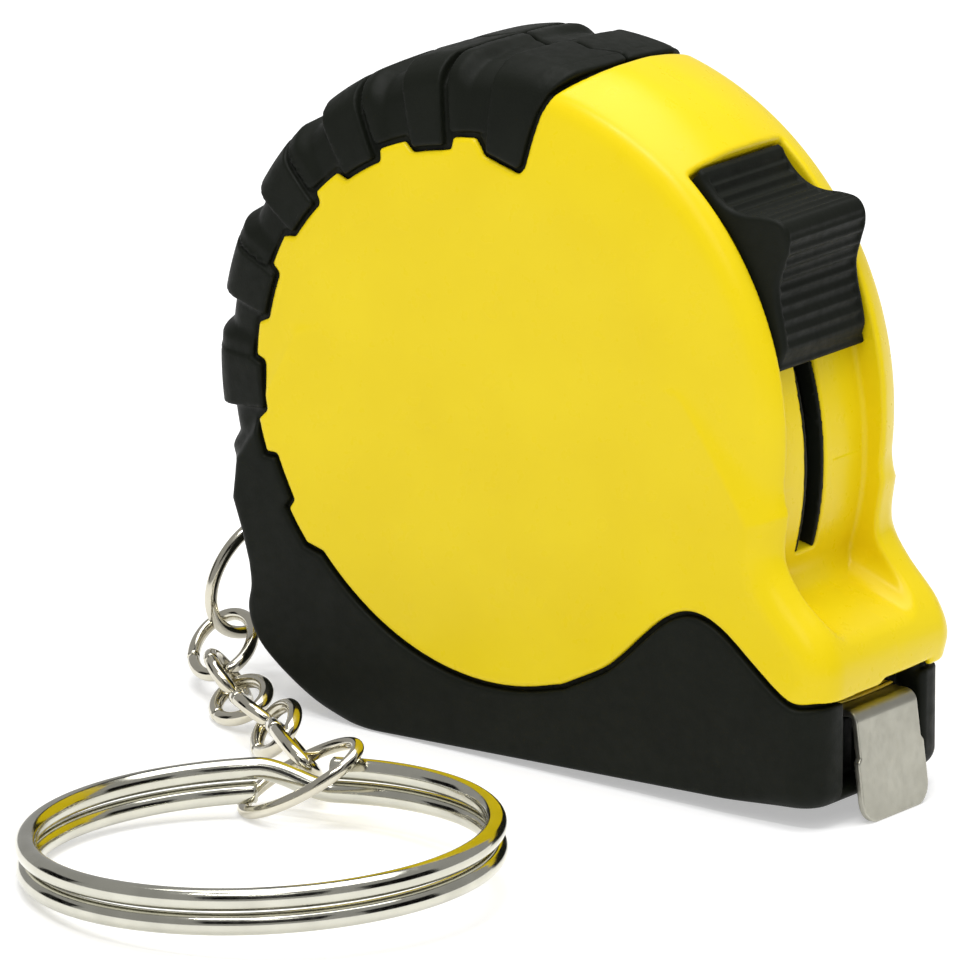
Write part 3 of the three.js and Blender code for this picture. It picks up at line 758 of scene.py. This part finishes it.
# ---- hook, rivets, screws, blade ----------------------------------------------------------
def hook_field(x, y, z):
    """A tab under the blade, bent down into a leaning plate that is wider below the blade."""
    slope = math.tan(math.radians(HOOK_LEAN))
    across_plate = math.cos(math.radians(HOOK_LEAN))
    face = HOOK_PLATE[0] + (HOOK_PLATE[1] - z) * slope
    plate = between(x, face, face + HOOK_THICK / across_plate) * across_plate
    tab = np.maximum(between(z, HOOK_TOP - HOOK_THICK, HOOK_TOP), 17.6 - x)
    tab_end = HOOK_PLATE[0] + (HOOK_PLATE[1] - HOOK_TOP) * slope + HOOK_THICK
    bend = both(x - face - HOOK_THICK, z - HOOK_TOP, 0.75)
    shape = np.maximum(np.minimum(plate, np.maximum(tab, x - tab_end)), bend)
    shape = np.maximum(shape, HOOK_TIP - z)
    half = 3.3 + 0.25 * smooth_step(2.9, 2.5, z) * smooth_step(22, 23, x)
    half = np.where(x < 22, 2.9, half)
    outline = both(np.abs(y) - half, HOOK_TIP - z, 1.4)
    return both(shape, outline, 0.08)


def rivet_field(side):
    """A domed head above the blade, another below the hook's tab, and a shank through both."""
    head_radius = 0.9
    head_bottom = 6.05
    foot_top = 5.25

    def field(x, y, z):
        r = np.hypot(x - RIVET_X, y - side * RIVET_Y)
        dome = 0.35 - 0.18 * (r / head_radius) ** 2
        head = np.maximum(r - head_radius, between(z, head_bottom, head_bottom + dome))
        foot = np.maximum(r - head_radius, between(z, foot_top - dome, foot_top))
        shank = np.maximum(r - 0.45, between(z, 5.0, 6.3))
        return np.minimum(np.minimum(head, foot), shank)
    return field


def screw_field(centre):
    """A low domed head with a tapered cross in it, and a threaded shank."""
    length = 9.2 if centre == REEL else 9.0
    head_radius = 1.75
    thread_pitch = 0.7
    cross_half = 1.05
    cross_wide = 0.24

    def field(x, y, z):
        u = np.abs(x - centre[0])
        w = np.abs(z - centre[1])
        r = np.hypot(u, w)
        dome = SCREW_TOP - 0.12 * (r / head_radius) ** 2
        head = both(r - head_radius, between(y, 6.0, dome), 0.12)
        thread = 0.88 + 0.1 * np.cos(2 * math.pi * y / thread_pitch)
        shank = np.maximum(r - thread, between(y, SCREW_TOP - length, 6.2))
        taper = 0.55 * np.clip(SCREW_TOP - y, 0, 0.6)
        arms = [np.maximum(a - cross_half + taper, b - cross_wide + taper * 0.15)
                for a, b in ((u, w), (w, u))]
        cross = np.maximum(np.minimum(*arms), 6.5 - y)
        return cut(np.minimum(head, shank), cross, 0.05)
    return field


def blade():
    """The straight blade, hollow across its width, in short lengths along it."""
    across = np.linspace(-1, 1, 13)
    stations = np.linspace(1.0, 23.0, 89)
    half = 3.05
    hollow = 0.1
    points = []
    for x in stations:
        for lift in (0, BLADE_THICK):
            for u in across:
                points.append((x, half * u, BLADE_BOTTOM + hollow * u * u + lift))
    n = len(across)
    row = 2 * n
    faces = []
    for i in range(len(stations) - 1):
        a = i * row
        b = a + row
        for j in range(n - 1):
            faces.append((a + j, a + j + 1, b + j + 1, b + j))
            faces.append((a + n + j, b + n + j, b + n + j + 1, a + n + j + 1))
        faces.append((a, b, b + n, a + n))
        faces.append((a + n - 1, a + 2 * n - 1, b + 2 * n - 1, b + n - 1))
    for a in (0, (len(stations) - 1) * row):
        for j in range(n - 1):
            quad = (a + j, a + n + j, a + n + j + 1, a + j + 1)
            faces.append(quad if a == 0 else quad[::-1])
    return new_object("blade_straight", points, faces)


# ---- materials ----------------------------------------------------------------------------
def material(name, **values):
    made = bpy.data.materials.new(name)
    made.use_nodes = True
    shader = made.node_tree.nodes["Principled BSDF"]
    for socket, value in values.items():
        shader.inputs[socket.replace("_", " ")].default_value = value
    return made, made.node_tree, shader


def add_node(tree, kind, **values):
    node = tree.nodes.new(kind)
    for key, value in values.items():
        if hasattr(node, key):
            setattr(node, key, value)
        else:
            node.inputs[key.replace("_", " ")].default_value = value
    return node


def noise(tree, scale, detail, stretch=(1, 1, 1)):
    """Noise over the object's own space; scale is in features per metre."""
    place = add_node(tree, "ShaderNodeTexCoord")
    mapping = add_node(tree, "ShaderNodeMapping")
    mapping.inputs["Scale"].default_value = stretch
    made = add_node(tree, "ShaderNodeTexNoise", Scale=scale, Detail=detail)
    tree.links.new(place.outputs["Object"], mapping.inputs["Vector"])
    tree.links.new(mapping.outputs["Vector"], made.inputs["Vector"])
    return made.outputs["Fac"]


def remap(tree, source, low, high, to_low, to_high):
    made = add_node(tree, "ShaderNodeMapRange", From_Min=low, From_Max=high, To_Min=to_low, To_Max=to_high)
    tree.links.new(source, made.inputs["Value"])
    return made.outputs["Result"]


def blend_colours(tree, factor, first, second):
    made = add_node(tree, "ShaderNodeMix", data_type="RGBA")
    tree.links.new(factor, made.inputs["Factor"])
    for socket, colour in (("A", first), ("B", second)):
        target = [i for i in made.inputs if i.name == socket and i.type == "RGBA"][0]
        if hasattr(colour, "links"):
            tree.links.new(colour, target)
        else:
            target.default_value = (*colour, 1)
    return [o for o in made.outputs if o.type == "RGBA"][0]


def bump(tree, shader, height, distance, strength):
    """Small relief; distance is its depth in metres."""
    made = add_node(tree, "ShaderNodeBump", Strength=strength, Distance=distance)
    tree.links.new(height, made.inputs["Height"])
    tree.links.new(made.outputs["Normal"], shader.inputs["Normal"])


def yellow_plastic():
    made, tree, shader = material("yellow_plastic", Specular_IOR_Level=0.22)
    cloud = remap(tree, noise(tree, 140, 2.0), 0.3, 0.7, 0, 1)
    colour = blend_colours(tree, cloud, (0.79, 0.598, 0.004), (0.82, 0.632, 0.006))
    tree.links.new(colour, shader.inputs["Base Color"])
    tree.links.new(remap(tree, noise(tree, 900, 4.0), 0.3, 0.7, 0.26, 0.33), shader.inputs["Roughness"])
    bump(tree, shader, noise(tree, 5200, 2.0), 0.000012, 0.35)
    return made


def black_plastic():
    made, tree, shader = material("black_plastic", Specular_IOR_Level=0.12)
    cloud = remap(tree, noise(tree, 260, 3.0), 0.3, 0.7, 0, 1)
    colour = blend_colours(tree, cloud, (0.005, 0.0063, 0.0038), (0.007, 0.0085, 0.0054))
    tree.links.new(colour, shader.inputs["Base Color"])
    tree.links.new(remap(tree, noise(tree, 1500, 4.0), 0.3, 0.7, 0.48, 0.62), shader.inputs["Roughness"])
    bump(tree, shader, noise(tree, 6500, 3.0), 0.00002, 0.5)
    return made


def metal(name, first, second, rough, rough_high, scratch=0.0):
    """Metal that wanders between two colours and two roughnesses, with scratches if they have a depth."""
    made, tree, shader = material(name, Metallic=1.0)
    shade = blend_colours(tree, remap(tree, noise(tree, 420, 4.0), 0.35, 0.7, 0, 1), first, second)
    tree.links.new(shade, shader.inputs["Base Color"])
    roughness = remap(tree, noise(tree, 1800, 5.0), 0.35, 0.75, rough, rough_high)
    tree.links.new(roughness, shader.inputs["Roughness"])
    if scratch:
        bump(tree, shader, noise(tree, 900, 6.0, (1, 1, 9)), scratch, 0.6)
    return made


def plain(name, first, second, rough):
    """A dull material that wanders between two colours, with a fine grain."""
    made, tree, shader = material(name, Roughness=rough)
    shade = blend_colours(tree, remap(tree, noise(tree, 600, 4.0), 0.3, 0.7, 0, 1), first, second)
    tree.links.new(shade, shader.inputs["Base Color"])
    bump(tree, shader, noise(tree, 3600, 3.0), 0.00002, 0.6)
    return made


def blade_enamel():
    """Yellow enamel with a black tick each millimetre, longer at each fifth and tenth."""
    made, tree, shader = material("blade_enamel", Roughness=0.3, Coat_Weight=0.3)
    place = add_node(tree, "ShaderNodeTexCoord")
    split = add_node(tree, "ShaderNodeSeparateXYZ")
    tree.links.new(place.outputs["Object"], split.inputs["Vector"])

    def calc(operation, first, second=None):
        node = add_node(tree, "ShaderNodeMath", operation=operation)
        for i, value in enumerate((first, second)):
            if value is None:
                continue
            if isinstance(value, (int, float)):
                node.inputs[i].default_value = value
            else:
                tree.links.new(value, node.inputs[i])
        return node.outputs[0]

    from_hook = calc("SUBTRACT", 0.0247, split.outputs["X"])
    across = calc("ABSOLUTE", split.outputs["Y"])
    ticks = None
    # spacing, how near to the blade's middle the ticks reach, and half their width
    for spacing, reach, width in (
            (0.001, 0.0019, 0.00008), (0.005, 0.0013, 0.0001), (0.01, 0.0002, 0.00012)):
        nearest = calc("PINGPONG", from_hook, spacing / 2)
        on = calc("MULTIPLY", calc("LESS_THAN", nearest, width), calc("GREATER_THAN", across, reach))
        ticks = on if ticks is None else calc("MAXIMUM", ticks, on)
    cloud = remap(tree, noise(tree, 500, 3.0), 0.3, 0.7, 0, 1)
    enamel = blend_colours(tree, cloud, (0.82, 0.6, 0.05), (0.86, 0.66, 0.07))
    colour = blend_colours(tree, ticks, enamel, (0.01, 0.01, 0.01))
    tree.links.new(colour, shader.inputs["Base Color"])
    return made


MATERIALS = {
    "yellow_plastic": yellow_plastic(),
    "black_plastic": black_plastic(),
    "nickel": metal("nickel", (0.64, 0.61, 0.51), (0.56, 0.53, 0.44), 0.1, 0.2),
    "hook_nickel": metal("hook_nickel", (0.46, 0.45, 0.385), (0.41, 0.4, 0.34), 0.34, 0.46, 0.000004),
    "ring_steel": metal("ring_steel", (0.6, 0.59, 0.51), (0.52, 0.51, 0.44), 0.1, 0.18),
    "screw_steel": metal("screw_steel", (0.5, 0.5, 0.5), (0.4, 0.4, 0.41), 0.25, 0.4, 0.000004),
    "rivet_steel": metal("rivet_steel", (0.6, 0.6, 0.6), (0.5, 0.5, 0.5), 0.25, 0.4),
    "spring_steel": metal("spring_steel", (0.16, 0.2, 0.3), (0.26, 0.26, 0.3), 0.25, 0.4),
    "blade_enamel": blade_enamel(),
    "nylon": plain("nylon", (0.72, 0.7, 0.62), (0.78, 0.77, 0.7), 0.45),
    "rubber": plain("rubber", (0.018, 0.018, 0.018), (0.03, 0.03, 0.03), 0.8),
}


def paint(obj, look):
    obj.data.materials.clear()
    obj.data.materials.append(MATERIALS[look])


def dress(obj, look, body_name, replaces=None):
    paint(obj, look)
    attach(obj, body_name)
    if replaces:
        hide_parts(*replaces)


# ---- camera, light and floor --------------------------------------------------------------
VIEW_AZIMUTH = math.radians(35.45)      # from square to the near face, round towards the mouth
VIEW_ELEVATION = math.radians(14.62)
VIEW_DISTANCE = 0.8
VIEW_TARGET = Vector((-5.89, 0, 15.02)) * MM
LENS = 482.4                            # a long lens, so that parallel edges stay nearly parallel
LIGHT_TARGET = (0, 0, 0.02)
CARD_TARGET = (0, -0.02, 0.005)
# place and size in metres, power in watts
LIGHTS = {
    "top": ((0.02, 0.05, 0.5), (0.5, 0.4), 2.1),
    "front": ((0.3, -0.4, 0.4), (0.2, 0.2), 0.3),
    "strip": ((0.05, -0.26, 0.46), (0.25, 0.03), 0.8),
}
CARDS = {
    "card_front": ((0.29, -0.44, 0.3), (0.6, 0.3)),
    "card_left": ((-0.4, -0.15, 0.08), (0.2, 0.2)),
    "card_back": ((-0.16, 0.3, 0.5), (0.12, 0.3)),
    "card_right": ((0.4, 0.06, 0.08), (0.3, 0.3)),
}


def look_at(obj, target):
    obj.rotation_euler = (Vector(target) - obj.location).to_track_quat("-Z", "Y").to_euler()


def add_camera():
    data = bpy.data.cameras.new("camera")
    data.lens = LENS
    data.sensor_width = 36
    data.clip_start = 0.01
    camera = bpy.data.objects.new("camera", data)
    bpy.context.scene.collection.objects.link(camera)
    level = math.cos(VIEW_ELEVATION)
    outwards = Vector((math.sin(VIEW_AZIMUTH) * level, -math.cos(VIEW_AZIMUTH) * level,
                       math.sin(VIEW_ELEVATION)))
    camera.location = VIEW_TARGET + VIEW_DISTANCE * outwards
    look_at(camera, VIEW_TARGET)
    bpy.context.scene.camera = camera


def add_light(name, place, size, power):
    data = bpy.data.lights.new(name, "AREA")
    data.shape = "RECTANGLE"
    data.size, data.size_y = size
    data.energy = power
    lamp = bpy.data.objects.new(name, data)
    bpy.context.scene.collection.objects.link(lamp)
    lamp.location = place
    look_at(lamp, LIGHT_TARGET)


def rectangle(half_x, half_y):
    """Corners of a flat rectangle, in order round it."""
    return [(-half_x, -half_y), (half_x, -half_y), (half_x, half_y), (-half_x, half_y)]


def add_card(name, place, size):
    """A dark studio card, seen only in reflections."""
    corners = [(x, y, 0) for x, y in rectangle(size[0] / 2 / MM, size[1] / 2 / MM)]
    card = new_object(name, corners, [(0, 1, 2, 3)])
    made, _, shader = material(name, Roughness=1.0, Specular_IOR_Level=0.0)
    shader.inputs["Base Color"].default_value = (0.004, 0.004, 0.004, 1)
    card.data.materials.append(made)
    card.location = place
    look_at(card, CARD_TARGET)
    card.visible_camera = False
    card.visible_diffuse = False
    card.visible_shadow = False


def add_floor():
    """The floor falls away forwards, because the case stands on its heel and the tip of its hook."""
    heel = -9
    tip = 25.3
    fall = -HOOK_TIP / (tip - heel)
    reach = 3000
    corners = [(x, y, -(x - heel) * fall) for x, y in rectangle(reach, reach)]
    floor = new_object("floor", corners, [(0, 1, 2, 3)])
    made, _, shader = material("floor", Roughness=0.9, Specular_IOR_Level=0.1)
    shader.inputs["Base Color"].default_value = (0.72, 0.72, 0.72, 1)
    shader.inputs["Emission Color"].default_value = (1, 1, 1, 1)
    shader.inputs["Emission Strength"].default_value = 0.42
    floor.data.materials.append(made)


def add_world():
    world = bpy.data.worlds.new("world")
    bpy.context.scene.world = world
    world.use_nodes = True
    background = world.node_tree.nodes["Background"]
    background.inputs["Color"].default_value = (1, 1, 1, 1)
    background.inputs["Strength"].default_value = 0.41


bpy.context.scene.view_settings.view_transform = "Standard"
add_camera()
add_world()
add_floor()
for name, (place, size, power) in LIGHTS.items():
    add_light(name, place, size, power)
for name, (place, size) in CARDS.items():
    add_card(name, place, size)

# ---- pieces -------------------------------------------------------------------------------
coarse = 1.0
case_low = (-23.2, -HALF, 0)
case_high = (NOSE_FRONT, HALF, 44.5)

near = solid_from("near_half", near_shell, case_low, (NOSE_FRONT, SEAM_Y + SEAM_LAP, case_high[2]),
                  0.17 * coarse, 0.35)
dress(near, "yellow_plastic", "case", replaces=["near_shell"])
far = solid_from("far_half", far_shell, (case_low[0], SEAM_Y - SEAM_LAP, 0), case_high,
                 0.2 * coarse, 0.3)
dress(far, "yellow_plastic", "case", replaces=["far_shell"])
near_black = solid_from("near_tread", near_bumper, case_low, (NOSE_FRONT, 1.0, case_high[2]),
                        0.15 * coarse, 0.45)
dress(near_black, "black_plastic", "case", replaces=["near_bumper"])
far_black = solid_from("far_tread", far_bumper, (case_low[0], -1.2, 0), case_high,
                       0.18 * coarse, 0.4)
dress(far_black, "black_plastic", "case", replaces=["far_bumper"])
button = solid_from("thumb_button", lock_button, (10, -6.1, 25), (22.6, 4.05, 40.2),
                    0.085 * coarse, 0.6)
dress(button, "black_plastic", "lock", replaces=["lock_button"])
# black strips in the slot: painted shade, to keep the slot dark
slot_shade_piece = solid_from("slot_painted_shade", slot_painted_shade, (12, -2.4, 13), (21, -0.2, 34), 0.1, 0.4)
dress(slot_shade_piece, "black_plastic", "case", replaces=["far_bumper"])
slider = solid_from("lock_arm", lock_slider, (13, -2.5, 14), (20, 2.5, 33),
                    0.12 * coarse, 0.5)
dress(slider, "black_plastic", "lock", replaces=["lock_slider"])
hook = solid_from("blade_hook", hook_field, (17.6, -3.6, HOOK_TIP), (25.6, 3.6, 5.8),
                  0.07 * coarse, 0.5)
dress(hook, "hook_nickel", "tape", ["end_hook"])
for side, label in ((-1, "left"), (1, "right")):
    rivet = solid_from(f"rivet_{label}", rivet_field(side),
                       (RIVET_X - 1, side * RIVET_Y - 1, 4.8), (RIVET_X + 1, side * RIVET_Y + 1, 6.5),
                       0.06 * coarse, 0.6)
    dress(rivet, "rivet_steel", "tape", replaces=[f"hook_rivet_{label}"])
for node, centre in SCREWS.items():
    screw = solid_from(f"{node}_detail", screw_field(centre),
                       (centre[0] - 1.8, -2.2, centre[1] - 1.8), (centre[0] + 1.8, 7.15, centre[1] + 1.8),
                       0.09 * coarse, 0.6)
    dress(screw, "screw_steel", "case", replaces=[node])
straight = blade()
straight.data.materials.append(MATERIALS["blade_enamel"])
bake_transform(straight)
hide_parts("tape_blade")
for name, thick, path in chain_paths():
    # a little thinner than the CAD's wire, so that no link touches the next
    link = wire(f"{name}_wire", path, 0.96 * thick / 2)
    dress(link, "nickel", f"{name}_body", replaces=[name])
ring = wire("key_ring_wire", split_ring_path(), RING_WIRE / 2, 24)
dress(ring, "ring_steel", "split_ring_body", replaces=["split_ring"])

NODE_LOOKS = {
    "brake_pad": "rubber", "reel_spindle": "screw_steel", "reel_drum": "nylon", "drum_cap": "nylon",
    "tape_coil": "blade_enamel", "power_spring": "spring_steel",
}
for node, look in NODE_LOOKS.items():
    paint(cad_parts[node], look)
